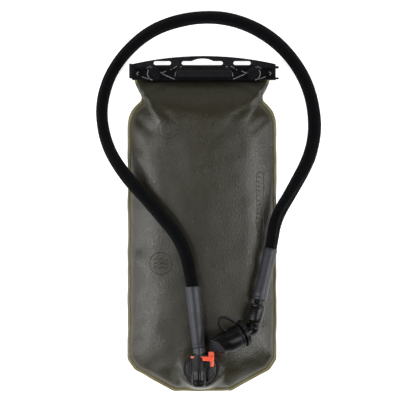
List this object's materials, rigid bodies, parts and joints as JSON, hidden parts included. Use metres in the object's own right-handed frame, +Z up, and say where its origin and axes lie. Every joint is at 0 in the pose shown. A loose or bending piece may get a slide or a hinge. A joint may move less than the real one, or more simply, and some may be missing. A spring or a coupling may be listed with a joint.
{
  "type": "hydration bladder",
  "caption": "Welded film water reservoir with a slide-on closure, quick-release port and insulated drinking hose ending in a covered bite valve.",
  "frame": {"origin": "on the floor under the middle of the reservoir and its closure, measured without the hose", "axes": "+Y towards the filling mouth, +Z up from the back panel, +X to the right of the front panel"},
  "size_m": [0.2719, 0.4594, 0.0916],
  "materials": {
    "film": "satin",
    "weld_film": "satin",
    "black_plastic": "satin",
    "gloss_black": "gloss",
    "latch_plastic": "satin",
    "seal_rubber": "matte",
    "grey_rubber": "satin",
    "sleeve_fabric": "matte",
    "clear_tube": "gloss",
    "spring_steel": "satin",
    "silicone": "satin"
  },
  "bodies": {
    "reservoir": {"front_panel": "film", "back_panel": "film", "perimeter_weld": "weld_film", "front_mouth_rail": "black_plastic", "rear_mouth_rail": "black_plastic", "port_flange": "black_plastic", "port_gasket": "seal_rubber", "port_backing_nut": "black_plastic", "port_cap": "black_plastic", "outlet_elbow": "black_plastic", "elbow_seal_ring": "seal_rubber", "poppet_spring": "spring_steel", "latch_spring": "spring_steel"},
    "closure": {"slide_closure": "black_plastic", "closure_end_cap": "black_plastic"},
    "latch": {"latch_button": "latch_plastic"},
    "hose": {"tube_plug": "black_plastic", "plug_seal_ring": "seal_rubber", "lower_cuff": "grey_rubber", "drinking_tube": "clear_tube", "tube_sleeve": "sleeve_fabric", "upper_cuff": "grey_rubber", "hose_end_spigot": "black_plastic", "swivel_seal_ring": "seal_rubber"},
    "poppet": {"check_valve_poppet": "black_plastic"},
    "valve": {"swivel_sleeve": "gloss_black", "valve_elbow": "gloss_black", "valve_stem": "black_plastic", "bite_valve": "silicone"},
    "collar": {"shutoff_collar": "black_plastic"},
    "cover": {"dust_cover": "black_plastic", "cover_tether": "seal_rubber"}
  },
  "joints": [
    {"name": "closure_slide", "type": "slide", "parent": "reservoir", "child": "closure", "axis": [-1, 0, 0], "range_m": [0, 0.185]},
    {"name": "latch_press", "type": "slide", "parent": "reservoir", "child": "latch", "axis": [-1, 0, 0], "range_m": [0, 0.0022], "stiffness_N_per_m": 600, "springref_m": -0.001, "deforming": ["latch_spring"]},
    {"name": "plug_release", "type": "slide", "parent": "reservoir", "child": "hose", "axis": [0, 1, 0], "range_m": [0, 0.016]},
    {"name": "poppet_travel", "type": "slide", "parent": "reservoir", "child": "poppet", "axis": [0, 1, 0], "range_m": [0, 0.0038], "deforming": ["poppet_spring"]},
    {"name": "valve_swivel", "type": "hinge", "parent": "hose", "child": "valve", "pos_m": [0.0589, -0.12577, 0.06169], "axis": [0.2216, 0.9684, -0.1147], "range_deg": [0, 150]},
    {"name": "collar_twist", "type": "hinge", "parent": "valve", "child": "collar", "pos_m": [0.04786, -0.13101, 0.06614], "axis": [0.8489, 0.4031, -0.342], "range_deg": [0, 90]},
    {"name": "cover_pull", "type": "slide", "parent": "valve", "child": "cover", "axis": [-0.8489, -0.4031, 0.342], "range_m": [0, 0.034], "deforming": ["cover_tether"]}
  ],
  "couplings": [
    {"joint": "poppet_travel", "follows": "plug_release", "ratio": 0.2375}
  ]
}
